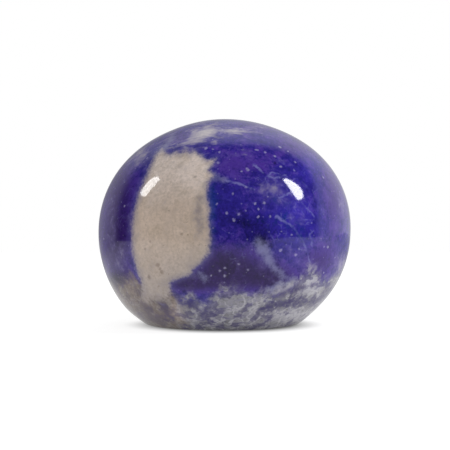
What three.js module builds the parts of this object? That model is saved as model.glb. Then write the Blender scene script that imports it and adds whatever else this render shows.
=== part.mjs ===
// A polished lapis lazuli stone: a slightly flattened ball of blue rock, ground and polished all
// over by hand, that stands on one small flat spot under it. It is one piece of rock, so it is
// one solid. Its blue, cream and grey markings lie flush in the polish and have no relief.
//
// Millimetres, +Z up, front of the stone towards -Y. The origin is the middle of the stone's
// plan, at the level of the flat spot that it stands on.

import * as THREE from "three";
import { mergeVertices } from "three/addons/utils/BufferGeometryUtils.js";

// The stone's size and form
const WIDTH = 70; // left to right, at the widest level
const DEPTH = 67; // front to back, at the widest level
const CROWN_RISE = 31.3; // from the widest level up to the top of the crown
const BASE_DROP = 25.6; // from the widest level down to the flat spot
const FULLNESS = 2.07; // exponent of the side outline: 2 is an ellipse, more is squarer
const BASE_EDGE_RADIUS = 3; // rounding where the flat spot meets the side
const LEAN = 0.025; // how far the crown stands to the right, per millimetre of height

// Broad swells and hollows left by grinding by hand. Each is centred on a direction from the
// middle of the stone (degrees round from the right towards the back, degrees above the widest
// level), and fades out over its spread in degrees. Rise is in millimetres, below 0 for a hollow.
const SWELLS = [
  { round: 0, above: 15, spread: 22, rise: 0.12 },
  { round: 0, above: 60, spread: 18, rise: -0.24 },
  { round: 180, above: 84, spread: 18, rise: 0.18 },
  { round: 180, above: 62, spread: 14, rise: -0.12 },
  { round: 180, above: 28, spread: 18, rise: 0.12 },
  { round: 180, above: -15, spread: 16, rise: -0.26 },
  { round: 180, above: -43, spread: 12, rise: 0.34 },
  { round: 0, above: -44, spread: 14, rise: -0.2 },
  { round: 285, above: 24, spread: 30, rise: 0.1 },
  { round: 245, above: -30, spread: 24, rise: -0.12 },
  { round: 70, above: 20, spread: 26, rise: -0.3 },
  { round: 115, above: -20, spread: 24, rise: 0.32 },
];

// How finely the surface is divided
const STEPS_ROUND = 80; // round the stone
const STEPS_DOWN = 36; // from the crown to the start of the base edge
const STEPS_EDGE = 5; // round the base edge

const degrees = THREE.MathUtils.degToRad;

// A point of the side outline, at an angle above the widest level: x is the distance from the
// axis and y is the height above the widest level.
function outlinePoint(angle) {
  const grow = (share) => Math.sign(share) * Math.abs(share) ** (2 / FULLNESS);
  return new THREE.Vector2(
    (WIDTH / 2) * grow(Math.cos(angle)),
    CROWN_RISE * grow(Math.sin(angle)),
  );
}

// The outward direction of the side outline at an angle.
function outlineNormal(angle) {
  const step = 1e-4;
  const along = outlinePoint(angle + step).sub(outlinePoint(angle - step));
  return new THREE.Vector2(along.y, -along.x).normalize();
}

// The middle of a ball of the edge's radius that touches the outline inside, at an angle.
function edgeCentre(angle) {
  return outlinePoint(angle).addScaledVector(
    outlineNormal(angle),
    -BASE_EDGE_RADIUS,
  );
}

// The angle at which the side runs into the base edge: there the ball stands on the flat spot.
function edgeStart() {
  let high = 0;
  let low = -Math.PI / 2 + 0.2;
  while (high - low > 1e-9) {
    const middle = (high + low) / 2;
    if (edgeCentre(middle).y > BASE_EDGE_RADIUS - BASE_DROP) high = middle;
    else low = middle;
  }
  return low;
}

// Half of the stone's outline, from the middle of the flat spot out and up to the crown.
function profile() {
  const start = edgeStart();
  const centre = edgeCentre(start);
  const from = outlineNormal(start).angle() - 2 * Math.PI;
  const flat = -Math.PI / 2;
  const points = [new THREE.Vector2(0, -BASE_DROP)];
  for (let i = 0; i < STEPS_EDGE; i++) {
    const angle = THREE.MathUtils.lerp(flat, from, i / STEPS_EDGE);
    points.push(
      new THREE.Vector2(
        centre.x + BASE_EDGE_RADIUS * Math.cos(angle),
        i ? centre.y + BASE_EDGE_RADIUS * Math.sin(angle) : -BASE_DROP,
      ),
    );
  }
  for (let i = 0; i < STEPS_DOWN; i++) {
    points.push(
      outlinePoint(THREE.MathUtils.lerp(start, Math.PI / 2, i / STEPS_DOWN)),
    );
  }
  points.push(new THREE.Vector2(0, CROWN_RISE));
  return points;
}

// The unit direction of a swell from the middle of the stone.
function direction({ round, above }) {
  return new THREE.Vector3().setFromSphericalCoords(
    1,
    Math.PI / 2 - degrees(above),
    Math.PI / 2 + degrees(round),
  );
}

// How far all the swells together push the surface out, in a direction from the middle.
function swell(towards) {
  return SWELLS.reduce((sum, one) => {
    const away = towards.angleTo(direction(one)) / degrees(one.spread);
    return sum + one.rise * Math.exp(-away * away);
  }, 0);
}

// Turns the round ball into the hand-ground stone: narrower front to back, leaning a little, and
// with its swells, which fade out before the flat spot so that it stays flat.
// The spun profile still has its axis along Y here, with +Z towards the stone's front.
function shapeByHand(geometry) {
  const place = geometry.getAttribute("position");
  const point = new THREE.Vector3();
  for (let i = 0; i < place.count; i++) {
    point.fromBufferAttribute(place, i);
    const clear = THREE.MathUtils.smoothstep(
      point.y + BASE_DROP,
      0,
      2 * BASE_EDGE_RADIUS,
    );
    const outward = point.clone().normalize();
    point.addScaledVector(outward, clear * swell(outward));
    point.x += LEAN * point.y;
    point.z *= DEPTH / WIDTH;
    place.setXYZ(i, point.x, point.y, point.z);
  }
}

// Sets the middle of the stone's plan on the axis.
function centrePlan(geometry) {
  geometry.computeBoundingBox();
  const middle = geometry.boundingBox.getCenter(new THREE.Vector3());
  geometry.translate(-middle.x, -middle.y, 0);
}

function lapisStone() {
  let geometry = new THREE.LatheGeometry(profile(), STEPS_ROUND);
  geometry.deleteAttribute("normal");
  geometry.deleteAttribute("uv");
  geometry = mergeVertices(geometry, 1e-4);
  shapeByHand(geometry);
  geometry.rotateX(Math.PI / 2);
  centrePlan(geometry);
  geometry.computeVertexNormals();
  const polishedLapis = new THREE.MeshStandardMaterial({
    color: 0x33297a,
    roughness: 0.08,
    metalness: 0,
  });
  const stone = new THREE.Mesh(geometry, polishedLapis);
  stone.name = "lapis_stone";
  stone.position.z = BASE_DROP;
  return stone;
}

const group = new THREE.Group();
group.add(lapisStone());

export default group;
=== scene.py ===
import math

import bpy
import numpy as np
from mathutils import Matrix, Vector
from mathutils.bvhtree import BVHTree


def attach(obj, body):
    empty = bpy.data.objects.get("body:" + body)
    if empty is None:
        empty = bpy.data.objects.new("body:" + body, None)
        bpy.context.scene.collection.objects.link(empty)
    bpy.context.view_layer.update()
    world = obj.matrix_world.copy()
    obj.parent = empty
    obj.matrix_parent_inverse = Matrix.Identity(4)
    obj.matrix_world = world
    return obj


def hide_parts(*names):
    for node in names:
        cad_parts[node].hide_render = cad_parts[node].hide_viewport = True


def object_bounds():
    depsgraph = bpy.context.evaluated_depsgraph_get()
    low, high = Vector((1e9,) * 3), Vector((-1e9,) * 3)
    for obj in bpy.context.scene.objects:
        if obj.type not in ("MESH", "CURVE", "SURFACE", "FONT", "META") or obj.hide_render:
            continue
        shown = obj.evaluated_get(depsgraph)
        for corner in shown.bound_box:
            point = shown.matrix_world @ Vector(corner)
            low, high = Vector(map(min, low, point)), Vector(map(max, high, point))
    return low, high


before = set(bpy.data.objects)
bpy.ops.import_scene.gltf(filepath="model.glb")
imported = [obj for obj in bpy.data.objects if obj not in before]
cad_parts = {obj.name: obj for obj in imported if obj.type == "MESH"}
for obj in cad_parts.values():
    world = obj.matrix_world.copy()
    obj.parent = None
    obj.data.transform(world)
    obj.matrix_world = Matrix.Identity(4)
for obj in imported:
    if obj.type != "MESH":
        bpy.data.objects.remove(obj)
cad_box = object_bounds()

MM = 0.001  # one millimetre, in metres

# The stone's form in millimetres, as in the CAD source
WIDTH = 70  # left to right, at the widest level
DEPTH = 67  # front to back, at the widest level
CROWN_RISE = 31.3  # from the widest level up to the top of the crown
BASE_DROP = 25.6  # from the widest level down to the flat spot
FULLNESS = 2.07  # exponent of the side outline: 2 is an ellipse, more is squarer
BASE_EDGE_RADIUS = 3  # rounding where the flat spot meets the side
LEAN = 0.025  # how far the crown stands to the right, per millimetre of height

# Broad swells and hollows left by grinding by hand: degrees round from the right towards the back,
# degrees above the widest level, spread in degrees, and rise in millimetres.
SWELLS = [
    (0, 15, 22, 0.12),
    (0, 60, 18, -0.24),
    (180, 84, 18, 0.18),
    (180, 62, 14, -0.12),
    (180, 28, 18, 0.12),
    (180, -15, 16, -0.26),
    (180, -43, 12, 0.34),
    (0, -44, 14, -0.2),
    (285, 24, 30, 0.1),
    (245, -30, 24, -0.12),
    (70, 20, 26, -0.3),
    (115, -20, 24, 0.32),
]

# How finely the surface is divided
STEPS_ROUND = 400  # round the stone
STEPS_FLAT = 16  # from the middle of the flat spot to its edge
STEPS_EDGE = 12  # round the base edge
STEPS_SIDE = 176  # from the base edge up to the crown

# The photograph's view: the stone is seen from the front, a little from above
SEEN_FROM = 600  # millimetres from the stone to the lens
SEEN_ABOVE = 2.63  # degrees above level
SEEN_CENTRE = (0.12, 0, 27.64)  # the point in the middle of the view, in millimetres
LENS = 172.7  # focal length in millimetres, on a sensor 36 mm wide

# The studio's dark opening, as shares of the half of the stone that faces the lens
OPENING_CENTRE = -0.058  # a little left of the middle
OPENING_HALF_WIDTH = 0.773
OPENING_HEIGHT = 0.82  # above level
OPENING_SQUARENESS = (2.5, 3.17)  # on the left and on the right: 2 is round, more is squarer
OPENING_GLOW = 0.03  # light from the opening
LEFT_GLOW = 0.48  # light from the white walls, where 1 is as white as paper
RIGHT_GLOW = 1.0
CEILING_GLOW = 1.2

FILL_POWER = 2.5  # of the light above and in front, in watts

# The table's corners in metres: the stone mirrors its edges
TABLE = ((-0.33, -0.26), (0.33, 0.34))
TABLE_GLOW = 0.85  # emission of the top, but in the polish it fades towards the front
TABLE_GAP = 0.00005  # between the table and the flat spot

# The corners of the two light panels: degrees round from the front to the right, and above level
RIGHT_PANEL = [
    (73, 46),
    (78, 46),
    (82, 42),
    (85, 36),
    (85, 31),
    (82, 26.5),
    (77, 25),
    (73, 26),
    (72, 35),
]
LEFT_PANEL = [
    (-96, 43),
    (-91, 45),
    (-85, 44.5),
    (-84, 37),
    (-85, 29),
    (-90, 27.5),
    (-95, 29),
    (-97, 36),
]
RIGHT_PANEL_GLOW = 28
LEFT_PANEL_GLOW = 14

# The markings on the front of the stone, in millimetres across from the middle and up from the
# table, as the lens sees them.
CALCITE_OUTLINE = [
    (-17.4, 48.6),
    (-16.3, 47.5),
    (-15.2, 47.2),
    (-13.5, 47.9),
    (-12.4, 47.5),
    (-10.7, 48.2),
    (-9.6, 47.6),
    (-8.2, 48.1),
    (-6.4, 46.8),
    (-4.9, 45.6),
    (-2.3, 46.1),
    (-3.7, 44.2),
    (-4.4, 42.8),
    (-3.0, 41.4),
    (-4.8, 39.4),
    (-5.1, 35.6),
    (-4.2, 31.8),
    (-4.5, 29.5),
    (-4.0, 26.2),
    (-4.0, 23.0),
    (-4.4, 20.0),
    (-6.9, 17.0),
    (-8.7, 15.6),
    (-9.4, 14.2),
    (-11.4, 13.4),
    (-14.2, 12.6),
    (-15.2, 11.4),
    (-15.0, 9.6),
    (-15.8, 6.6),
    (-23.0, 6.0),
    (-22.6, 9.2),
    (-23.2, 12.4),
    (-24.6, 15.6),
    (-25.3, 19.0),
    (-25.8, 23.2),
    (-25.6, 27.1),
    (-25.0, 31.8),
    (-23.8, 35.7),
    (-22.1, 40.4),
    (-20.4, 44.3),
    (-19.2, 47.0),
]

# The upper edge of the pale foot: degrees round from the right towards the back, and height
FOOT_EDGE = [
    (0, 16.0),
    (25, 13.0),
    (50, 17.5),
    (72, 22.0),
    (90, 20.0),
    (112, 12.0),
    (135, 9.0),
    (160, 12.5),
    (180, 10.5),
    (195, 11.8),
    (207, 13.1),
    (214, 14.6),
    (220, 15.7),
    (225, 14.0),
    (242, 11.6),
    (248, 10.6),
    (253, 11.4),
    (257, 9.2),
    (261, 9.4),
    (265, 11.3),
    (271, 12.7),
    (276, 13.0),
    (280, 11.2),
    (285, 10.8),
    (289, 12.1),
    (294, 11.0),
    (300, 12.8),
    (307, 14.0),
    (311, 16.2),
    (317, 16.7),
    (325, 14.4),
    (334, 14.1),
    (341, 15.6),
    (350, 16.0),
]

# Strokes: each is a line of points, across, up and half as wide as the stroke there
BLUE_IN_FOOT = [
    [(-14.2, 11.0, 1.0), (-12.2, 11.2, 1.5), (-9.5, 10.8, 1.6), (-7.2, 10.0, 1.2)],
    [(-7.0, 9.4, 1.0), (-6.2, 7.8, 0.7)],
    [(-12.8, 7.0, 0.5), (-11.8, 5.8, 0.6), (-9.8, 5.6, 0.6), (-8.8, 6.8, 0.5)],
    [(-24.4, 14.4, 0.4), (-23.8, 13.2, 0.5)],
    [(-23.4, 11.8, 0.4), (-22.6, 10.8, 0.4)],
    [(13.4, 7.5, 0.5), (16.5, 8.8, 0.7), (20.2, 9.8, 0.7), (24.5, 10.8, 0.5)],
    [(24.0, 6.0, 0.6), (27.0, 7.2, 0.8), (29.6, 9.4, 0.6)],
    [(28.0, 12.4, 0.8), (28.8, 13.4, 0.7)],
    [(15.6, 5.4, 0.5), (18.4, 6.4, 0.6), (21.2, 7.6, 0.5)],
    [(10.2, 4.4, 0.4), (13.0, 5.2, 0.5)],
    [(10.6, 1.9, 0.3), (13.2, 2.5, 0.4)],
    [(-18.4, 6.4, 0.5), (-16.4, 4.0, 0.7), (-14.2, 1.2, 0.5)],
]
PALE_STROKES = [
    [(9.6, 22.8, 1.3), (11.2, 20.0, 1.5), (13.0, 16.8, 1.2), (15.4, 14.3, 0.6), (17.4, 12.6, 0.4)],
    [(12.4, 9.4, 0.8), (15.4, 10.8, 0.7), (19.0, 11.8, 0.8)],
    [(-3.2, 41.0, 0.5), (-1.4, 40.4, 0.6), (0.4, 39.8, 0.35)],
    [(-6.8, 14.2, 0.4), (-5.4, 12.6, 0.5)],
    [(-17.2, 48.4, 0.5), (-15.8, 50.6, 0.35), (-14.4, 52.4, 0.5)],
]

# Soft zones: across, up, reach across, reach up, amount. Violet below 0 is teal, and dark below
# 0 is bright. The chalky and shaded ones are in the foot and the grey ones in the calcite.
VIOLET_ZONES = [
    (-11.8, 11.0, 5.6, 2.2, 1.5),
    (-0.7, 17.9, 5.0, 3.9, 0.3),
    (-28.5, 12.9, 3.9, 2.2, 0.8),
    (4.3, 44.9, 8.9, 3.9, 1.2),
    (1.5, 16.2, 13.9, 5.3, 2.1),
    (0.5, 11.8, 10.0, 2.8, 1.2),
    (-5.4, 11.8, 4.4, 2.5, 0.8),
    (13.7, 12.4, 7.2, 3.6, 1.4),
    (-3.8, 31.8, 1.7, 8.9, -1.3),
    (16.0, 28.5, 4.4, 3.9, -0.6),
    (21.0, 23.5, 3.3, 3.9, -0.4),
    (18.7, 17.4, 2.5, 2.2, -0.5),
    (31.2, 37.4, 3.9, 11.7, 1.2),
    (21.5, 49.9, 6.9, 3.9, 1.0),
    (10.4, 55.2, 6.1, 1.7, 0.8),
    (-12.4, 51.8, 6.7, 2.2, 0.8),
    (-29.1, 40.1, 4.4, 8.3, 1.1),
    (26.5, 17.4, 5.0, 4.4, 1.3),
    (-30.2, 24.0, 5.0, 13.9, 2.2),
]
DARK_ZONES = [
    (-11.8, 11.0, 5.6, 2.2, 0.25),
    (0.6, 19.2, 4.6, 3.0, 0.28),
    (4.3, 28.5, 2.8, 1.7, 0.2),
    (10.4, 24.6, 1.9, 2.2, 0.3),
    (7.6, 25.7, 4.4, 3.9, 0.35),
    (2.1, 30.4, 3.9, 3.3, 0.15),
    (11.2, 22.4, 2.2, 1.7, 0.45),
    (4.3, 14.6, 12.2, 3.9, 0.32),
    (14.0, 44.9, 0.4, 0.4, 0.8),
    (4.8, 31.0, 0.8, 0.8, 0.4),
    (-4.0, 23.5, 1.4, 3.9, 0.25),
    (21.0, 31.8, 4.4, 3.9, -0.55),
    (22.6, 42.4, 3.3, 3.9, -0.25),
    (4.3, 45.7, 8.3, 3.9, -0.3),
    (-29.1, 20.7, 3.9, 8.3, 0.3),
    (-27.4, 33.2, 1.7, 6.7, 0.3),
    (24.9, 33.2, 0.8, 5.0, 0.2),
    (14.0, 11.2, 4.4, 2.2, 0.3),
    (-30.5, 11.8, 2.8, 2.2, 0.9),
    (13.7, 36.8, 3.3, 2.8, -0.3),
]
MILKY_ZONES = [
    (-4.9, 53.5, 3.3, 2.2, 1.6),
    (-7.9, 52.1, 2.5, 1.4, 0.8),
    (2.1, 53.5, 3.9, 1.1, 0.9),
    (7.6, 53.8, 3.3, 0.8, 0.6),
    (0.1, 55.7, 3.3, 0.8, 0.4),
    (-12.4, 50.4, 6.1, 2.5, 0.55),
    (-24.1, 46.8, 4.4, 3.9, 0.75),
    (9.3, 55.2, 3.9, 0.7, 0.45),
    (32.4, 33.2, 1.1, 3.3, 0.6),
    (29.6, 41.5, 2.5, 7.2, 0.2),
    (-29.0, 17.4, 2.4, 5.6, 0.5),
    (-31.8, 27.6, 1.9, 8.3, 0.35),
    (10.7, 17.4, 2.5, 4.4, 0.4),
    (20.2, 18.8, 4.6, 3.3, 0.42),
    (24.9, 15.7, 2.8, 1.9, 0.5),
    (32.6, 16.6, 2.1, 4.6, 0.75),
    (13.2, 36.8, 4.2, 3.4, 0.85),
    (4.3, 46.8, 5.6, 2.8, 0.15),
    (21.0, 32.0, 4.2, 5.0, 0.4),
    (13.0, 38.6, 3.2, 3.2, 0.12),
]
CHALKY_ZONES = [
    (23.7, 11.2, 3.3, 2.5, 1.5),
    (2.1, 6.8, 2.5, 2.5, 0.1),
    (16.5, 10.1, 3.9, 1.1, 1.0),
    (7.6, 6.2, 2.8, 2.2, 0.4),
    (18.5, 2.3, 7.0, 1.6, 0.75),
    (-20.7, 10.1, 2.2, 3.9, 0.35),
    (-13.5, 5.1, 1.7, 2.2, 0.7),
    (-25.6, 10.6, 2.0, 2.2, 0.3),
    (-12.6, 2.6, 2.2, 1.4, 1.0),
    (-2.4, 6.8, 1.4, 1.7, 0.4),
]
SHADED_ZONES = [
    (16.2, 5.7, 4.4, 1.4, 0.9),
    (29.3, 9.0, 2.2, 3.3, 0.8),
    (-8.8, 5.7, 1.9, 1.9, 1.0),
    (-5.4, 2.3, 2.2, 1.7, 0.8),
    (-16.8, 4.8, 1.1, 1.1, 1.1),
    (-18.8, 1.5, 3.2, 1.3, 1.1),
    (-1.5, 3.5, 1.7, 1.1, 0.9),
    (3.2, 9.6, 1.4, 1.1, 0.6),
    (-0.7, 8.7, 1.7, 1.1, 0.6),
    (-23.5, 3.5, 2.2, 2.2, 0.5),
    (-20.9, 4.2, 1.2, 1.2, 1.1),
    (-29.2, 12.1, 2.2, 1.8, 0.8),
    (10.4, 4.3, 1.7, 0.8, 0.7),
    (21.0, 6.0, 2.2, 1.1, 0.6),
]
GREY_ZONES = [
    (-7.1, 30.7, 1.7, 7.2, 1.3),
    (-24.3, 31.3, 1.1, 13.9, 0.4),
    (-15.2, 10.7, 3.9, 2.5, 0.7),
    (-10.7, 44.3, 2.8, 1.4, 0.3),
    (-20.2, 15.1, 2.8, 2.2, 0.5),
    (-9.6, 17.4, 2.8, 2.8, 0.4),
]
VEINED_ZONES = [
    (18.2, 37.4, 7.2, 6.1, 1.0),
    (21.0, 24.6, 7.2, 6.1, 0.9),
    (10.4, 41.3, 4.4, 3.3, 0.7),
    (4.3, 20.7, 8.3, 8.3, 0.3),
    (-29.1, 34.6, 4.4, 13.9, 0.3),
    (4.3, 48.5, 8.3, 2.8, 0.3),
]

# The back of the stone, which the photo doesn't show: millimetres round it from the middle of the
# back to the left as seen from the front, and up. Strokes and zones are as on the front.
CALCITE_BEHIND = [
    [(15, 48, 1.5), (19, 41, 5.0), (22, 32, 7.5), (21, 23, 6.5), (16, 14, 3.5)],
    [(-33, 50, 0.5), (-27, 43, 1.1), (-24, 34, 1.6), (-18, 25, 1.2), (-15, 17, 0.6)],
]
PALE_BEHIND = [
    [(-10, 48, 1.2), (-4, 44, 2.0), (2, 42, 1.5), (9, 43, 1.0)],
    [(-24, 34, 1.0), (-14, 37, 0.8), (-5, 35, 0.5)],
    [(34, 40, 0.8), (40, 30, 1.2), (44, 20, 0.8)],
    [(2, 30, 0.6), (6, 22, 1.0), (5, 15, 0.8)],
]
MILKY_BEHIND = [
    (-4, 45, 12, 4, 0.8),
    (36, 34, 8, 12, 0.6),
    (-38, 26, 6, 10, 0.6),
    (4, 20, 8, 8, 0.4),
    (20, 50, 12, 3, 0.7),
]
VIOLET_BEHIND = [
    (-14, 30, 12, 14, 1.4),
    (8, 16, 16, 7, 1.8),
    (36, 44, 10, 6, 1.0),
    (2, 36, 8, 8, -0.8),
    (-34, 38, 8, 8, -0.7),
    (44, 22, 8, 8, 1.0),
]
VEINED_BEHIND = [
    (-20, 36, 14, 12, 0.9),
    (8, 30, 12, 12, 0.8),
    (38, 26, 10, 10, 0.8),
]

# Thin pale threads: from and to, across and up, and half as wide as the thread at each end
THREADS = [
    (0.4, 39.9, 4.3, 39.0, 0.30, 0.25),
    (4.3, 39.0, 8.4, 37.5, 0.25, 0.12),
    (8.2, 44.4, 10.6, 42.2, 0.45, 0.25),
    (15.1, 35.1, 18.2, 36.5, 0.15, 0.28),
    (21.5, 33.8, 24.9, 29.9, 0.15, 0.20),
    (20.4, 29.0, 24.9, 29.1, 0.12, 0.12),
    (21.5, 39.6, 23.0, 38.4, 0.15, 0.15),
    (14.6, 29.9, 19.0, 27.1, 0.45, 0.20),
    (19.0, 27.1, 21.8, 23.2, 0.20, 0.20),
    (21.8, 23.2, 23.7, 17.4, 0.20, 0.12),
    (11.9, 41.2, 13.4, 42.4, 0.20, 0.20),
    (13.4, 42.4, 15.4, 41.6, 0.20, 0.15),
    (11.9, 41.2, 14.0, 40.6, 0.20, 0.15),
    (14.0, 40.6, 17.0, 41.6, 0.15, 0.15),
]

# Brown specks in the calcite: across, up and radius
SPECKS = [
    (-18.6, 16.5, 0.55),
    (-18.0, 15.6, 0.35),
    (-17.4, 14.6, 0.5),
    (-20.9, 13.2, 0.5),
    (-11.9, 25.1, 0.3),
    (-8.3, 41.0, 0.3),
    (-20.6, 23.0, 0.25),
    (-22.0, 21.0, 0.22),
]

# Pale grains: across, up and radius
GRAINS = [
    (-5.2, 49.0, 0.45),
    (-1.5, 47.9, 0.35),
    (-1.8, 44.9, 0.35),
    (8.7, 48.5, 0.35),
    (11.2, 47.9, 0.38),
    (15.4, 49.3, 0.42),
    (17.6, 48.2, 0.25),
    (19.6, 45.1, 0.35),
    (19.3, 42.9, 0.25),
    (6.5, 42.9, 0.32),
    (4.6, 42.6, 0.28),
    (14.0, 46.8, 0.28),
    (8.5, 33.5, 0.32),
    (11.0, 33.8, 0.35),
    (4.0, 30.7, 0.30),
    (0.7, 31.0, 0.30),
    (2.6, 29.0, 0.30),
    (2.3, 36.3, 0.28),
    (-2.1, 33.5, 0.28),
    (6.0, 38.2, 0.28),
    (12.6, 29.9, 0.25),
    (0.1, 15.7, 0.26),
    (0.1, 13.5, 0.38),
    (-1.3, 14.9, 0.22),
    (4.0, 16.8, 0.22),
    (6.5, 15.1, 0.25),
    (15.7, 20.7, 0.28),
    (20.7, 21.0, 0.24),
    (19.9, 19.3, 0.30),
    (28.7, 21.5, 0.34),
    (18.7, 24.9, 0.25),
    (-27.8, 32.9, 0.30),
]


def outline_point(angle):
    """Distance from the axis and height above the widest level, at an angle on the side outline."""
    across = math.copysign(abs(math.cos(angle)) ** (2 / FULLNESS), math.cos(angle))
    up = math.copysign(abs(math.sin(angle)) ** (2 / FULLNESS), math.sin(angle))
    return np.array([WIDTH / 2 * across, CROWN_RISE * up])


def outline_normal(angle):
    """The outward direction of the side outline at an angle."""
    step = 1e-4
    along = outline_point(angle + step) - outline_point(angle - step)
    outward = np.array([along[1], -along[0]])
    return outward / np.linalg.norm(outward)


def edge_centre(angle):
    """The middle of a ball of the edge's radius that touches the outline inside, at an angle."""
    return outline_point(angle) - BASE_EDGE_RADIUS * outline_normal(angle)


def edge_start():
    """The angle at which the side runs into the base edge: there the ball stands on the flat."""
    high = 0
    low = -math.pi / 2 + 0.2
    while high - low > 1e-9:
        middle = (high + low) / 2
        if edge_centre(middle)[1] > BASE_EDGE_RADIUS - BASE_DROP:
            high = middle
        else:
            low = middle
    return low


def profile():
    """Half of the stone's outline, from the middle of the flat spot out and up to the crown."""
    start = edge_start()
    centre = edge_centre(start)
    outward = outline_normal(start)
    turned = math.atan2(outward[1], outward[0])
    points = []
    for i in range(STEPS_FLAT):
        points.append((centre[0] * i / STEPS_FLAT, -BASE_DROP))
    for i in range(STEPS_EDGE):
        angle = -math.pi / 2 + (turned + math.pi / 2) * i / STEPS_EDGE
        rounded = centre + BASE_EDGE_RADIUS * np.array([math.cos(angle), math.sin(angle)])
        points.append((rounded[0], rounded[1]))
    for i in range(STEPS_SIDE):
        points.append(tuple(outline_point(start + (math.pi / 2 - start) * i / STEPS_SIDE)))
    points.append((0, CROWN_RISE))
    return points


def positions(mesh):
    """The places of a mesh's vertices, as rows of three."""
    place = np.empty(len(mesh.vertices) * 3)
    mesh.vertices.foreach_get("co", place)
    return place.reshape(-1, 3)


def smoothstep(value, low, high):
    """Runs from 0 at low to 1 at high, with soft ends."""
    share = np.clip((value - low) / (high - low), 0, 1)
    return share * share * (3 - 2 * share)


def swell(outward):
    """How far all the swells together push the surface out, for rows of unit directions."""
    rise = np.zeros(len(outward))
    for bearing, above, spread, height in SWELLS:
        level = math.cos(math.radians(above))
        towards = np.array(
            [
                level * math.cos(math.radians(bearing)),
                level * math.sin(math.radians(bearing)),
                math.sin(math.radians(above)),
            ]
        )
        away = np.degrees(np.arccos(np.clip(outward @ towards, -1, 1))) / spread
        rise += height * np.exp(-away * away)
    return rise


def shape_by_hand(place):
    """Turns the round ball into the hand-ground stone, in millimetres above the widest level."""
    clear = smoothstep(place[:, 2] + BASE_DROP, 0, 2 * BASE_EDGE_RADIUS)
    outward = place / np.linalg.norm(place, axis=1)[:, None]
    place = place + outward * (clear * swell(outward))[:, None]
    place[:, 0] += LEAN * place[:, 2]
    place[:, 1] *= DEPTH / WIDTH
    return place


def fit_to(place, box):
    """Sets the shaped stone in the CAD model's box, which it fills to a hundredth or two."""
    low = np.array(box[0])
    high = np.array(box[1])
    share = (place - place.min(0)) / (place.max(0) - place.min(0))
    return low + share * (high - low)


def spin_stone():
    """The fine stone: its outline, turned round the axis, closed and shaped by hand."""
    points = profile()
    bpy.ops.object.select_all(action="DESELECT")
    bpy.ops.mesh.primitive_circle_add(
        vertices=2 * (len(points) - 1),
        radius=WIDTH / 2 * MM,
        rotation=(math.pi / 2, 0, 0),
    )
    stone = bpy.context.object
    stone.name = "polished_stone"
    bpy.ops.object.transform_apply(location=True, rotation=True, scale=True)
    bpy.ops.object.mode_set(mode="EDIT")
    bpy.ops.mesh.select_all(action="DESELECT")
    bpy.ops.object.mode_set(mode="OBJECT")
    for vertex in stone.data.vertices:
        vertex.select = vertex.co.x < -MM * 1e-3
    bpy.ops.object.mode_set(mode="EDIT")
    bpy.ops.mesh.delete(type="VERT")
    bpy.ops.object.mode_set(mode="OBJECT")
    ring = sorted(stone.data.vertices, key=lambda vertex: vertex.co.z)
    for vertex, (across, up) in zip(ring, points, strict=True):
        vertex.co = (across * MM, 0, up * MM)
    bpy.ops.object.mode_set(mode="EDIT")
    bpy.ops.mesh.select_all(action="SELECT")
    bpy.ops.mesh.spin(
        steps=STEPS_ROUND, angle=2 * math.pi, center=(0, 0, 0), axis=(0, 0, 1)
    )
    bpy.ops.mesh.select_all(action="SELECT")
    bpy.ops.mesh.remove_doubles(threshold=1e-6)
    bpy.ops.mesh.normals_make_consistent(inside=False)
    bpy.ops.object.mode_set(mode="OBJECT")
    place = fit_to(shape_by_hand(positions(stone.data) / MM), cad_box)
    stone.data.vertices.foreach_set("co", place.ravel())
    stone.data.update()
    bpy.ops.object.shade_smooth()
    return stone


def place_camera():
    """The camera at the photograph's viewing angle."""
    data = bpy.data.cameras.new("view")
    data.lens = LENS
    data.sensor_width = 36
    data.clip_start = 0.01
    data.clip_end = 20
    camera = bpy.data.objects.new("view", data)
    above = math.radians(SEEN_ABOVE)
    back = Vector((0, -math.cos(above), math.sin(above)))
    camera.location = (Vector(SEEN_CENTRE) + back * SEEN_FROM) * MM
    camera.rotation_euler = (math.pi / 2 - above, 0, 0)
    bpy.context.scene.collection.objects.link(camera)
    bpy.context.scene.camera = camera


def add(tree, kind, values=None, **settings):
    """A node of a kind, with its settings, and with values or links on its inputs."""
    node = tree.nodes.new(kind)
    for name, setting in settings.items():
        setattr(node, name, setting)
    for name, value in (values or {}).items():
        if isinstance(value, bpy.types.NodeSocket):
            tree.links.new(value, node.inputs[name])
        else:
            node.inputs[name].default_value = value
    return node


def calc(tree, operation, *values, clamp=False):
    """A sum, product or other step of arithmetic on numbers or sockets."""
    node = add(tree, "ShaderNodeMath", operation=operation, use_clamp=clamp)
    for slot, value in zip(node.inputs, values):
        if isinstance(value, bpy.types.NodeSocket):
            tree.links.new(value, slot)
        else:
            slot.default_value = value
    return node.outputs[0]


def ramp(tree, value, low, high, to_low=0.0, to_high=1.0):
    """A soft step from to_low to to_high, as value runs from low to high."""
    node = add(
        tree,
        "ShaderNodeMapRange",
        {
            "Value": value,
            "From Min": low,
            "From Max": high,
            "To Min": to_low,
            "To Max": to_high,
        },
        interpolation_type="SMOOTHSTEP",
    )
    return node.outputs["Result"]


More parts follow.
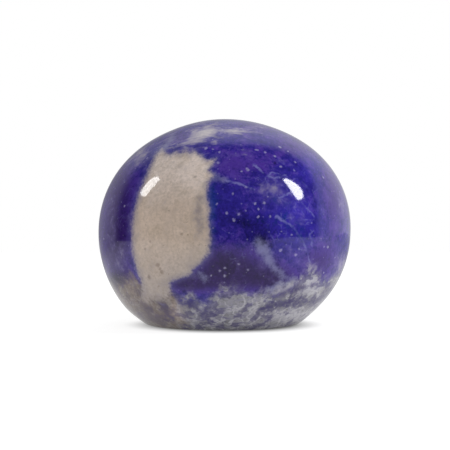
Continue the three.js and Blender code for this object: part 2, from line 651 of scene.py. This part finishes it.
def light_world():
    """A white studio that is open and dark on the side of the lens. A polished stone mirrors it.

    The opening is given by its mirror image on a ball: half the way between where the light comes
    from and where the lens is. It is a rectangle with rounded corners there.
    """
    world = bpy.data.worlds.new("studio")
    bpy.context.scene.world = world
    world.use_nodes = True
    tree = world.node_tree
    tree.nodes.clear()
    above = math.radians(SEEN_ABOVE)
    towards = add(tree, "ShaderNodeTexCoord").outputs["Generated"]
    both = add(tree, "ShaderNodeVectorMath", {0: towards}, operation="ADD")
    both.inputs[1].default_value = (0, -math.cos(above), math.sin(above))
    half = add(tree, "ShaderNodeVectorMath", {0: both.outputs[0]}, operation="NORMALIZE")
    parts = add(tree, "ShaderNodeSeparateXYZ", {"Vector": half.outputs[0]})
    across = calc(tree, "ABSOLUTE", calc(tree, "SUBTRACT", parts.outputs["X"], OPENING_CENTRE))
    up = calc(tree, "MAXIMUM", parts.outputs["Z"], 0.0)
    squareness = ramp(tree, parts.outputs["X"], -0.2, 0.2, *OPENING_SQUARENESS)
    wide = calc(tree, "POWER", calc(tree, "DIVIDE", across, OPENING_HALF_WIDTH), squareness)
    tall = calc(tree, "POWER", calc(tree, "DIVIDE", up, OPENING_HEIGHT), squareness)
    walls = ramp(tree, calc(tree, "ADD", wide, tall), 0.88, 1.12)
    where = add(tree, "ShaderNodeSeparateXYZ", {"Vector": towards}).outputs
    sides = ramp(tree, where["X"], -0.3, 0.3, LEFT_GLOW, RIGHT_GLOW)
    ceiling = ramp(tree, where["Z"], 0.5, 0.85)
    glow = calc(
        tree,
        "MULTIPLY_ADD",
        ceiling,
        calc(tree, "SUBTRACT", CEILING_GLOW, sides),
        sides,
    )
    glow = calc(tree, "MULTIPLY", glow, ramp(tree, where["Y"], 0.75, 1.0, 1.0, 0.6))
    white = calc(tree, "MULTIPLY_ADD", walls, glow, OPENING_GLOW)
    seen = add(tree, "ShaderNodeLightPath").outputs["Is Camera Ray"]
    strength = calc(tree, "MAXIMUM", white, seen)
    back = add(
        tree, "ShaderNodeBackground", {"Color": (1, 1, 1, 1), "Strength": strength}
    )
    add(tree, "ShaderNodeOutputWorld", {"Surface": back.outputs[0]})


def direction(bearing, above):
    """A unit direction, in degrees round from the front to the right, and degrees above level."""
    level = math.cos(math.radians(above))
    return Vector(
        (
            level * math.sin(math.radians(bearing)),
            -level * math.cos(math.radians(bearing)),
            math.sin(math.radians(above)),
        )
    )


def light_panel(name, corners, glow):
    """A glowing panel 0.8 m away, whose corners are directions as seen from the stone."""
    bpy.ops.object.select_all(action="DESELECT")
    bpy.ops.mesh.primitive_circle_add(vertices=len(corners), fill_type="NGON")
    panel = bpy.context.object
    panel.name = name
    for vertex, corner in zip(panel.data.vertices, corners):
        vertex.co = direction(*corner) * 0.8 + Vector(SEEN_CENTRE) * MM
    material = bpy.data.materials.new(name)
    material.use_nodes = True
    tree = material.node_tree
    tree.nodes.clear()
    lit = add(tree, "ShaderNodeEmission", {"Color": (1, 1, 1, 1), "Strength": glow})
    add(tree, "ShaderNodeOutputMaterial", {"Surface": lit.outputs[0]})
    panel.data.materials.append(material)
    panel.visible_camera = False


def fill_light():
    """A broad, dim light above and in front, too soft to show in the polish."""
    data = bpy.data.lights.new("fill", "AREA")
    data.shape = "RECTANGLE"
    data.size = 0.6
    data.size_y = 0.6
    data.energy = FILL_POWER
    light = bpy.data.objects.new("fill", data)
    light.location = Vector(SEEN_CENTRE) * MM + direction(0, 55) * 0.9
    light.rotation_euler = direction(0, 55).to_track_quat("Z", "Y").to_euler()
    light.visible_camera = False
    light.visible_glossy = False
    bpy.context.scene.collection.objects.link(light)


def lay_table():
    """A small table with a plain pale top, lit from below except where the stone stands.

    In the polish its glow is brightest on the right, dimmer behind the stone and gone at the front.
    """
    low, high = TABLE
    bpy.ops.object.select_all(action="DESELECT")
    bpy.ops.mesh.primitive_plane_add(size=1)
    table = bpy.context.object
    table.name = "table"
    table.scale = (high[0] - low[0], high[1] - low[1], 1)
    table.location = ((low[0] + high[0]) / 2, (low[1] + high[1]) / 2, -TABLE_GAP)
    bpy.ops.object.transform_apply(location=True, rotation=True, scale=True)
    material = bpy.data.materials.new("pale_table")
    material.use_nodes = True
    tree = material.node_tree
    tree.nodes.clear()
    place = add(tree, "ShaderNodeTexCoord").outputs["Object"]
    away = add(tree, "ShaderNodeVectorMath", {0: place}, operation="LENGTH").outputs["Value"]
    parts = add(tree, "ShaderNodeSeparateXYZ", {"Vector": place}).outputs
    front = ramp(tree, parts["Y"], -0.27, -0.08, 0.0, 0.66)
    right = ramp(tree, parts["X"], 0.04, 0.2, 0.0, 1.05)
    left = ramp(tree, parts["X"], -0.04, -0.3, 0.0, 0.25)
    mirrored = calc(tree, "MAXIMUM", front, calc(tree, "MAXIMUM", left, right))
    mirrored = calc(tree, "MULTIPLY", mirrored, ramp(tree, parts["Y"], 0.0, 0.15, 1.0, 0.35))
    mirrored = calc(tree, "MULTIPLY", mirrored, ramp(tree, parts["Y"], -0.26, -0.17))
    clear = ramp(tree, away, 0.015, 0.029)
    is_mirrored = add(tree, "ShaderNodeLightPath").outputs["Is Glossy Ray"]
    dimmer = calc(tree, "SUBTRACT", mirrored, TABLE_GLOW)
    glow = calc(tree, "MULTIPLY_ADD", is_mirrored, dimmer, TABLE_GLOW)
    surface = add(
        tree,
        "ShaderNodeBsdfPrincipled",
        {
            "Base Color": (0.25, 0.25, 0.25, 1),
            "Roughness": 0.8,
            "Emission Color": (1, 1, 1, 1),
            "Emission Strength": calc(tree, "MULTIPLY", clear, glow),
        },
    )
    add(tree, "ShaderNodeOutputMaterial", {"Surface": surface.outputs[0]})
    table.data.materials.append(material)


def seen_from_front(place):
    """Where points in millimetres lie in the front view: across and up."""
    above = math.radians(SEEN_ABOVE)
    back = np.array([0, -math.cos(above), math.sin(above)])
    upward = np.array([0, math.sin(above), math.cos(above)])
    off = place - np.array(SEEN_CENTRE)
    near = SEEN_FROM / (SEEN_FROM - off @ back)
    across = SEEN_CENTRE[0] + off[:, 0] * near
    up = SEEN_CENTRE[2] + (off @ upward) * near
    return across, up


def on_front(tree, across, up):
    """The point in millimetres of the stone's front that the lens sees there."""
    above = math.radians(SEEN_ABOVE)
    back = Vector((0, -math.cos(above), math.sin(above)))
    upward = Vector((0, math.sin(above), math.cos(above)))
    centre = Vector(SEEN_CENTRE)
    lens = centre + back * SEEN_FROM
    target = centre + Vector((across - centre.x, 0, 0)) + upward * (up - centre.z)
    place = tree.ray_cast(lens * MM, (target - lens).normalized())[0]
    return place / MM


def to_line(across, up, start, end):
    """Distance from points to a line between two ends, and the share of the way along it."""
    along = (end[0] - start[0], end[1] - start[1])
    share = (across - start[0]) * along[0] + (up - start[1]) * along[1]
    share = np.clip(share / (along[0] ** 2 + along[1] ** 2), 0, 1)
    away = np.hypot(across - start[0] - share * along[0], up - start[1] - share * along[1])
    return away, share


def inside_outline(across, up, outline):
    """How far points lie inside a closed outline, in millimetres, and below 0 outside it."""
    away = np.full(len(across), 1e3)
    inside = np.zeros(len(across), bool)
    for start, end in zip(outline, outline[1:] + outline[:1]):
        away = np.minimum(away, to_line(across, up, start, end)[0])
        crosses = (start[1] > up) != (end[1] > up)
        rise = end[1] - start[1] if end[1] != start[1] else 1e-9
        side = start[0] + (up - start[1]) * (end[0] - start[0]) / rise
        inside ^= crosses & (across < side)
    return np.where(inside, away, -away)


def inside_strokes(across, up, strokes):
    """How far points lie inside the nearest of some strokes, in millimetres."""
    best = np.full(len(across), -1e3)
    for stroke in strokes:
        for start, end in zip(stroke, stroke[1:]):
            away, share = to_line(across, up, start, end)
            wide = start[2] + share * (end[2] - start[2])
            best = np.maximum(best, wide - away)
    return best


def in_zones(across, up, zones):
    """The sum of soft round zones at points."""
    total = np.zeros(len(across))
    for middle, height, wide, tall, amount in zones:
        far = ((across - middle) / wide) ** 2 + ((up - height) / tall) ** 2
        total += amount * np.exp(-far)
    return total


def seen_behind(place):
    """Where points in millimetres lie on the back: round it from its middle, and up."""
    bearing = np.degrees(np.arctan2(place[:, 1], place[:, 0]))
    return np.radians(bearing - 90) * DEPTH / 2, place[:, 2]


def below_foot_edge(place):
    """How far points lie below the upper edge of the pale foot, in millimetres."""
    bearing = np.degrees(np.arctan2(place[:, 1], place[:, 0])) % 360
    known = [degrees for degrees, _ in FOOT_EDGE]
    heights = [height for _, height in FOOT_EDGE]
    return np.interp(bearing, known, heights, period=360) - place[:, 2]


def mark(stone):
    """Writes where each kind of rock lies to the stone's points, for its material."""
    place = positions(stone.data) / MM
    across, up = seen_from_front(place)
    behind, height = seen_behind(place)
    front = smoothstep(-place[:, 1], -1, 6)
    back = smoothstep(place[:, 1], -1, 6)
    hidden = np.where(front > 0, 0, -20)
    turned = np.where(back > 0, 0, -20)
    calcite = inside_outline(across, up, CALCITE_OUTLINE) + hidden
    calcite_behind = inside_strokes(behind, height, CALCITE_BEHIND) + turned
    pale = inside_strokes(across, up, PALE_STROKES) + hidden
    pale_behind = inside_strokes(behind, height, PALE_BEHIND) + turned
    violet = in_zones(across, up, VIOLET_ZONES) * front
    milky = in_zones(across, up, MILKY_ZONES) * front
    veined = in_zones(across, up, VEINED_ZONES) * front
    layers = {
        "calcite": np.maximum(calcite, calcite_behind),
        "pale": np.maximum(pale, pale_behind),
        "violet": violet + in_zones(behind, height, VIOLET_BEHIND) * back,
        "milky": milky + in_zones(behind, height, MILKY_BEHIND) * back,
        "veined": veined + in_zones(behind, height, VEINED_BEHIND) * back,
        "dark": in_zones(across, up, DARK_ZONES) * front,
        "behind": back,
        "foot": below_foot_edge(place),
        "blue_in_foot": inside_strokes(across, up, BLUE_IN_FOOT) + hidden,
        "chalky": in_zones(across, up, CHALKY_ZONES) * front,
        "shaded": in_zones(across, up, SHADED_ZONES) * front,
        "grey": in_zones(across, up, GREY_ZONES) * front,
    }
    for name, values in layers.items():
        layer = stone.data.attributes.new(name, "FLOAT", "POINT")
        layer.data.foreach_set("value", np.clip(values, -8, 8).astype(np.float32))


def paint(red, green, blue):
    """A colour given as on a paint chart, from 0 to 255, as the shader needs it."""
    shares = [value / 255 for value in (red, green, blue)]
    return [s / 12.92 if s <= 0.04045 else ((s + 0.055) / 1.055) ** 2.4 for s in shares] + [1]


ULTRAMARINE = paint(47, 38, 140)
TEAL_BLUE = paint(34, 50, 140)
VIOLET = paint(70, 48, 142)
PLUM = paint(52, 29, 100)
MILKY = paint(156, 149, 172)
CLOUD = paint(204, 196, 196)
SMOKY = paint(124, 124, 166)
LILAC = paint(112, 100, 164)
CREAM = paint(210, 191, 176)
CHALK = paint(238, 224, 217)
TAN = paint(186, 168, 150)
LOW_CALCITE = paint(164, 155, 152)
RIM_GREY = paint(146, 139, 156)
DUSK = paint(146, 137, 140)
BROWN = paint(104, 86, 74)
FOOT_GREY = paint(146, 144, 153)
FOOT_WHITE = paint(190, 188, 195)
FOOT_CREAM = paint(134, 121, 115)
FOOT_UMBER = paint(82, 70, 70)
FOOT_INK = paint(58, 50, 88)
GRAIN = paint(178, 172, 210)
THREAD = paint(124, 124, 190)


def attribute(tree, name):
    """One of the stone's layers, as a number."""
    return add(tree, "ShaderNodeAttribute", attribute_name=name).outputs["Fac"]


def noise(tree, place, size, detail=4.0, rough=0.55, distort=0.0, colour=False):
    """Mottling with lumps of a size in millimetres, from about 0.25 to 0.75."""
    node = add(
        tree,
        "ShaderNodeTexNoise",
        {
            "Vector": place,
            "Scale": 1 / size,
            "Detail": detail,
            "Roughness": rough,
            "Distortion": distort,
        },
    )
    return node.outputs["Color"] if colour else node.outputs["Fac"]


def mix(tree, share, first, second):
    """A colour between two others."""
    node = add(tree, "ShaderNodeMix", data_type="RGBA")
    for slot, value in ((0, share), (6, first), (7, second)):
        if isinstance(value, bpy.types.NodeSocket):
            tree.links.new(value, node.inputs[slot])
        else:
            node.inputs[slot].default_value = value
    return node.outputs[2]


def shade(tree, colour, strength):
    """A colour made darker or lighter."""
    node = add(tree, "ShaderNodeVectorMath", {0: colour, "Scale": strength}, operation="SCALE")
    return node.outputs[0]


def thread_group():
    """A group of nodes that says how far a point lies inside a thread between two ends."""
    group = bpy.data.node_groups.new("inside_thread", "ShaderNodeTree")
    for name in ("Place", "Start", "End"):
        group.interface.new_socket(name, in_out="INPUT", socket_type="NodeSocketVector")
    for name in ("Width at start", "Width at end"):
        group.interface.new_socket(name, in_out="INPUT", socket_type="NodeSocketFloat")
    group.interface.new_socket("Inside", in_out="OUTPUT", socket_type="NodeSocketFloat")
    given = group.nodes.new("NodeGroupInput").outputs
    result = group.nodes.new("NodeGroupOutput")

    def vector(operation, first, second):
        return add(group, "ShaderNodeVectorMath", {0: first, 1: second}, operation=operation)

    off = vector("SUBTRACT", given["Place"], given["Start"]).outputs[0]
    along = vector("SUBTRACT", given["End"], given["Start"]).outputs[0]
    share = calc(
        group,
        "DIVIDE",
        vector("DOT_PRODUCT", off, along).outputs["Value"],
        vector("DOT_PRODUCT", along, along).outputs["Value"],
        clamp=True,
    )
    reached = add(group, "ShaderNodeVectorMath", {0: along, "Scale": share}, operation="SCALE")
    away = vector("DISTANCE", off, reached.outputs[0]).outputs["Value"]
    taper = calc(group, "SUBTRACT", given["Width at end"], given["Width at start"])
    width = calc(group, "MULTIPLY_ADD", share, taper, given["Width at start"])
    group.links.new(calc(group, "SUBTRACT", width, away), result.inputs["Inside"])
    return group


def threads(tree, place, seen):
    """How far a point lies inside the nearest thread, in millimetres."""
    group = thread_group()
    inside = None
    for x1, z1, x2, z2, width1, width2 in THREADS:
        node = tree.nodes.new("ShaderNodeGroup")
        node.node_tree = group
        tree.links.new(place, node.inputs["Place"])
        node.inputs["Start"].default_value = on_front(seen, x1, z1)
        node.inputs["End"].default_value = on_front(seen, x2, z2)
        node.inputs["Width at start"].default_value = width1
        node.inputs["Width at end"].default_value = width2
        inside = calc(tree, "MAXIMUM", inside, node.outputs[0]) if inside else node.outputs[0]
    return inside


def grains(tree, place, seen, spots):
    """How far a point lies inside the nearest of some spots, in millimetres."""
    inside = None
    for across, up, radius in spots:
        away = add(tree, "ShaderNodeVectorMath", {0: place}, operation="DISTANCE")
        away.inputs[1].default_value = on_front(seen, across, up)
        one = calc(tree, "SUBTRACT", radius, away.outputs["Value"])
        inside = calc(tree, "MAXIMUM", inside, one) if inside else one
    return inside


def scattered_grains(tree, place, spacing, radius, kept):
    """Small grains through the whole rock: about one in each cell, of which a share is kept."""
    cells = add(
        tree,
        "ShaderNodeTexVoronoi",
        {"Vector": place, "Scale": 1 / spacing, "Randomness": 1.0},
    )
    parts = add(tree, "ShaderNodeSeparateColor", {"Color": cells.outputs["Color"]}).outputs
    size = ramp(tree, parts["Red"], 1 - kept, 1.0, 0.0, radius / spacing)
    inside = calc(tree, "SUBTRACT", size, cells.outputs["Distance"])
    return calc(tree, "MULTIPLY", inside, spacing)


def fibres(tree, place, size, width, strength):
    """Thin lines that wander through the rock."""
    field = noise(tree, place, size, 3.0, 0.5, 0.6)
    off = calc(tree, "ABSOLUTE", calc(tree, "SUBTRACT", field, 0.5))
    return ramp(tree, off, width, 0.0, 0.0, strength)


def cracks(tree, place, spacing, width, strength):
    """Short straight lines where grains of rock meet, healed with pale mineral."""
    cells = add(
        tree,
        "ShaderNodeTexVoronoi",
        {"Vector": place, "Scale": 1 / spacing, "Randomness": 1.0},
        feature="DISTANCE_TO_EDGE",
    )
    return ramp(tree, cells.outputs["Distance"], width / spacing, 0.0, 0.0, strength)


def plus(tree, value, texture, amount):
    """A value with mottling added to it, of which amount is the full spread."""
    return calc(tree, "MULTIPLY_ADD", calc(tree, "SUBTRACT", texture, 0.5), amount, value)


def stretched(tree, place, lean, along):
    """The place, pressed together along a line that leans in the front view."""
    return add(
        tree,
        "ShaderNodeMapping",
        {"Vector": place, "Rotation": (0, math.radians(lean), 0), "Scale": (1 / along, 1, 1)},
        vector_type="POINT",
    ).outputs[0]


class Rock:
    """What the stone's shader shares: the place in it in millimetres, and mottling of four sizes."""

    def __init__(self, tree, stone):
        self.seen = BVHTree.FromObject(stone, bpy.context.evaluated_depsgraph_get())
        metres = add(tree, "ShaderNodeTexCoord").outputs["Object"]
        scaled = add(
            tree, "ShaderNodeVectorMath", {0: metres, "Scale": 1 / MM}, operation="SCALE"
        )
        self.place = scaled.outputs[0]
        parts = add(tree, "ShaderNodeSeparateXYZ", {"Vector": self.place}).outputs
        self.sideways = parts["X"]
        self.height = parts["Z"]
        self.big = noise(tree, self.place, 8.0, 3.0)
        self.middling = noise(tree, self.place, 2.4, 5.0, 0.6)
        self.fine = noise(tree, self.place, 0.7, 5.0, 0.65)
        self.cloudy = noise(tree, self.place, 4.0, 7.0, 0.68, 0.5)
        self.stirred = stirred(tree, self.place)


def stirred(tree, place):
    """The place, moved about by up to half a millimetre, so that what is drawn there wavers."""
    stir = noise(tree, place, 1.2, 2.0, colour=True)
    moved = add(
        tree,
        "ShaderNodeVectorMath",
        {0: stir, 1: (0.9, 0.9, 0.9), 2: place},
        operation="MULTIPLY_ADD",
    )
    back = add(
        tree,
        "ShaderNodeVectorMath",
        {0: moved.outputs[0], 1: (0.45, 0.45, 0.45)},
        operation="SUBTRACT",
    )
    return back.outputs[0]


def blue_rock(tree, rock):
    """Teal, ultramarine, violet and plum, with fine mottling."""
    tint = calc(tree, "MULTIPLY_ADD", rock.big, 1.4, -0.7)
    tint = calc(tree, "ADD", tint, attribute(tree, "violet"))
    tint = plus(tree, tint, rock.middling, 2.6)
    tint = plus(tree, tint, rock.fine, 1.4)
    body = mix(tree, ramp(tree, tint, -1.1, -0.3), TEAL_BLUE, ULTRAMARINE)
    body = mix(tree, ramp(tree, tint, 0.0, 0.9), body, VIOLET)
    body = mix(tree, ramp(tree, tint, 0.7, 2.4), body, PLUM)
    light = calc(tree, "SUBTRACT", 1.0, attribute(tree, "dark"))
    light = plus(tree, light, rock.fine, 1.5)
    light = plus(tree, light, rock.middling, 1.2)
    light = plus(tree, light, rock.cloudy, 0.5)
    body = shade(tree, body, calc(tree, "MAXIMUM", light, 0.25))
    return body


def add_clouds(tree, rock, body):
    """Milky clouds and pale strokes in the blue."""
    cloud = plus(tree, attribute(tree, "milky"), rock.cloudy, 1.5)
    layers = noise(tree, stretched(tree, rock.place, 4.0, 2.2), 2.2, 5.0, 0.6, 0.9)
    cloud = calc(
        tree,
        "MULTIPLY_ADD",
        calc(tree, "SUBTRACT", layers, 0.5),
        ramp(tree, rock.height, 44.0, 50.0, 0.8, 2.6),
        cloud,
    )
    cloud = plus(tree, cloud, rock.middling, 0.6)
    body = mix(tree, ramp(tree, cloud, 0.05, 0.9, 0.0, 0.5), body, LILAC)
    body = mix(tree, ramp(tree, cloud, 0.4, 1.2, 0.0, 0.9), body, MILKY)
    body = mix(tree, ramp(tree, plus(tree, cloud, rock.fine, 0.8), 1.0, 2.1, 0.0, 0.8), body, CLOUD)
    edge = plus(tree, attribute(tree, "pale"), rock.fine, 2.2)
    edge = plus(tree, edge, rock.middling, 3.6)
    body = mix(tree, ramp(tree, edge, -1.2, 1.4, 0.0, 0.85), body, SMOKY)
    return body


def add_threads_and_grains(tree, rock, body):
    """Healed cracks, thin threads and pale grains in the blue."""
    patchy = ramp(tree, rock.middling, 0.36, 0.6, 0.15, 1.0)
    kept = ramp(tree, noise(tree, rock.place, 3.0, 3.0), 0.5, 0.64)
    lines = calc(tree, "MULTIPLY", cracks(tree, rock.stirred, 4.2, 0.26, 0.5), kept)
    kept = ramp(tree, noise(tree, rock.stirred, 2.0, 3.0), 0.52, 0.66)
    thin = calc(tree, "MULTIPLY", cracks(tree, rock.stirred, 2.2, 0.2, 0.45), kept)
    lines = calc(tree, "MAXIMUM", lines, thin)
    lines = calc(tree, "MULTIPLY", lines, calc(tree, "ADD", attribute(tree, "veined"), 0.2))
    drawn = ramp(tree, threads(tree, rock.stirred, rock.seen), -0.3, 0.25)
    drawn = calc(tree, "MULTIPLY", drawn, ramp(tree, rock.middling, 0.38, 0.62, 0.15, 0.85))
    lines = calc(tree, "MAXIMUM", drawn, calc(tree, "MULTIPLY", lines, patchy))
    body = mix(tree, lines, body, THREAD)
    grain = ramp(tree, grains(tree, rock.stirred, rock.seen, GRAINS), -0.26, 0.3, 0.0, 0.62)
    few = ramp(tree, scattered_grains(tree, rock.stirred, 3.0, 0.38, 0.6), -0.12, 0.15, 0.0, 0.5)
    many = ramp(tree, scattered_grains(tree, rock.place, 1.5, 0.25, 0.7), -0.08, 0.12, 0.0, 0.22)
    grain = calc(tree, "MAXIMUM", grain, calc(tree, "MAXIMUM", few, many))
    body = mix(tree, grain, body, GRAIN)
    return body


def foot_streaks(tree, rock):
    """Slanting streaks in the foot, and round lumps at its left."""
    rightward = ramp(tree, rock.sideways, -12.0, -3.0)
    streaks = noise(tree, stretched(tree, rock.place, 22.0, 2.6), 1.6, 6.0, 0.62, 0.7)
    lumps = noise(tree, rock.place, 3.0, 5.0, 0.6, 0.9)
    lumps = calc(tree, "MULTIPLY", lumps, calc(tree, "SUBTRACT", 1.0, rightward))
    return calc(tree, "MULTIPLY_ADD", streaks, rightward, lumps)


def foot_cover(tree, rock, streaks):
    """How far the pale foot covers the rock behind it, with ragged gaps."""
    ragged = plus(tree, attribute(tree, "foot"), rock.cloudy, 8.0)
    ragged = plus(tree, ragged, rock.middling, 4.0)
    ragged = plus(tree, ragged, rock.fine, 2.0)
    cover = ramp(tree, ragged, -1.6, 2.6)
    filled = calc(tree, "MULTIPLY", attribute(tree, "chalky"), -0.8)
    gaps = calc(tree, "ADD", attribute(tree, "shaded"), filled)
    gaps = plus(tree, gaps, streaks, 4.0)
    gaps = plus(tree, gaps, rock.fine, 1.2)
    cover = calc(tree, "MULTIPLY", cover, ramp(tree, gaps, -0.1, 1.0, 1.0, 0.2))
    streak = plus(tree, attribute(tree, "blue_in_foot"), rock.fine, 2.4)
    streak = plus(tree, streak, rock.middling, 3.0)
    cover = calc(tree, "MULTIPLY", cover, ramp(tree, streak, -0.8, 0.9, 1.0, 0.2))
    holes = noise(tree, rock.stirred, 3.2, 3.0, 0.55)
    least = ramp(tree, rock.sideways, -18.0, -8.0, 0.6, 0.35)
    cover = calc(tree, "MULTIPLY", cover, ramp(tree, holes, 0.5, 0.6, 1.0, least))
    return cover


def foot_colour(tree, rock, streaks):
    """Clouds of grey and cream with white wisps, darkened near the table by painted shade."""
    warm = plus(tree, ramp(tree, rock.sideways, -4.0, -16.0), rock.big, 1.2)
    grey = mix(tree, ramp(tree, warm, 0.2, 0.8), FOOT_GREY, FOOT_CREAM)
    bright = calc(tree, "MULTIPLY_ADD", attribute(tree, "chalky"), 0.55, 0.85)
    bright = plus(tree, bright, rock.fine, 1.2)
    bright = plus(tree, bright, streaks, 1.4)
    grey = shade(tree, grey, bright)
    wisps = calc(
        tree,
        "MULTIPLY",
        fibres(tree, rock.stirred, 3.4, 0.07, 0.6),
        ramp(tree, rock.sideways, -14.0, -4.0, 0.3, 1.0),
    )
    wisps = calc(tree, "MULTIPLY", wisps, ramp(tree, attribute(tree, "behind"), 0.0, 1.0, 1.0, 0.4))
    grey = mix(tree, wisps, grey, FOOT_WHITE)
    # Painted shade: the foot darkens by up to a tenth from 9 mm above the table down to it.
    grey = shade(tree, grey, ramp(tree, rock.height, 1.0, 9.0, 0.9, 1.0))
    return grey


def add_foot(tree, rock, body, cover, streaks):
    """The pale foot, with ink blue and umber left between its clouds."""
    grey = foot_colour(tree, rock, streaks)
    under = ramp(tree, calc(tree, "SUBTRACT", attribute(tree, "foot"), -1.5), 0.0, 6.0, 0.0, 0.85)
    ink = mix(tree, ramp(tree, rock.sideways, -11.0, -18.0), FOOT_INK, FOOT_UMBER)
    return mix(tree, cover, mix(tree, under, body, ink), grey)


def add_calcite(tree, rock, body, cover):
    """The calcite patch: cream, chalkier at the top and lilac grey at its rim."""
    inside = calc(
        tree,
        "MULTIPLY_ADD",
        calc(tree, "SUBTRACT", rock.cloudy, 0.5),
        calc(tree, "MULTIPLY", attribute(tree, "behind"), 16.0),
        attribute(tree, "calcite"),
    )
    ragged = plus(tree, inside, rock.middling, 2.2)
    ragged = plus(tree, ragged, rock.fine, 1.8)
    low = ramp(tree, plus(tree, rock.height, rock.cloudy, 9.0), 6.0, 11.0)
    patch = calc(tree, "MULTIPLY", ramp(tree, ragged, -0.8, 0.75), low)
    cream = mix(tree, ramp(tree, plus(tree, rock.height, rock.big, 20.0), 30.0, 50.0), CREAM, CHALK)
    cream = mix(tree, ramp(tree, rock.cloudy, 0.35, 0.75, 0.0, 0.7), cream, TAN)
    rim = plus(tree, calc(tree, "SUBTRACT", 1.8, inside), rock.middling, 2.4)
    rim = calc(tree, "MULTIPLY", ramp(tree, rim, 0.0, 2.2, 0.0, 0.65), low)
    cream = mix(tree, rim, cream, RIM_GREY)
    lower = ramp(tree, plus(tree, rock.height, rock.big, 16.0), 30.0, 8.0, 0.0, 0.85)
    cream = mix(tree, lower, cream, LOW_CALCITE)
    dusky = plus(tree, attribute(tree, "grey"), rock.fine, 2.4)
    dusky = plus(tree, dusky, rock.middling, 2.4)
    cream = mix(tree, ramp(tree, dusky, 0.1, 1.5, 0.0, 0.85), cream, DUSK)
    cream = shade(tree, cream, ramp(tree, rock.fine, 0.25, 0.75, 0.83, 1.15))
    speck = ramp(tree, grains(tree, rock.stirred, rock.seen, SPECKS), -0.4, 0.25, 0.0, 0.45)
    dots = ramp(tree, scattered_grains(tree, rock.stirred, 1.6, 0.24, 0.5), -0.12, 0.1, 0.0, 0.34)
    cream = mix(tree, calc(tree, "MAXIMUM", speck, dots), cream, BROWN)
    halo = plus(tree, inside, rock.middling, 3.0)
    halo = calc(tree, "MULTIPLY", ramp(tree, halo, -2.2, 0.2, 0.0, 0.3), ramp(tree, cover, 0.3, 0.0))
    body = mix(tree, halo, body, SMOKY)
    return mix(tree, patch, body, cream)


def polished_lapis(stone):
    """Blue rock with cream calcite, a pale foot, threads and grains, all under one polish."""
    material = bpy.data.materials.new("polished_lapis")
    material.use_nodes = True
    tree = material.node_tree
    tree.nodes.clear()
    rock = Rock(tree, stone)
    body = blue_rock(tree, rock)
    body = add_clouds(tree, rock, body)
    body = add_threads_and_grains(tree, rock, body)
    streaks = foot_streaks(tree, rock)
    cover = foot_cover(tree, rock, streaks)
    body = add_foot(tree, rock, body, cover, streaks)
    body = add_calcite(tree, rock, body, cover)
    surface = add(
        tree,
        "ShaderNodeBsdfPrincipled",
        {"Base Color": body, "Roughness": 0.07, "IOR": 1.4},
    )
    add(tree, "ShaderNodeOutputMaterial", {"Surface": surface.outputs[0]})
    return material


place_camera()
light_world()
light_panel("right_panel", RIGHT_PANEL, RIGHT_PANEL_GLOW)
light_panel("left_panel", LEFT_PANEL, LEFT_PANEL_GLOW)
fill_light()
lay_table()

stone = spin_stone()
mark(stone)
stone.data.materials.append(polished_lapis(stone))
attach(stone, "root")
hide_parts("lapis_stone")

view = bpy.context.scene.view_settings
view.view_transform = "Standard"
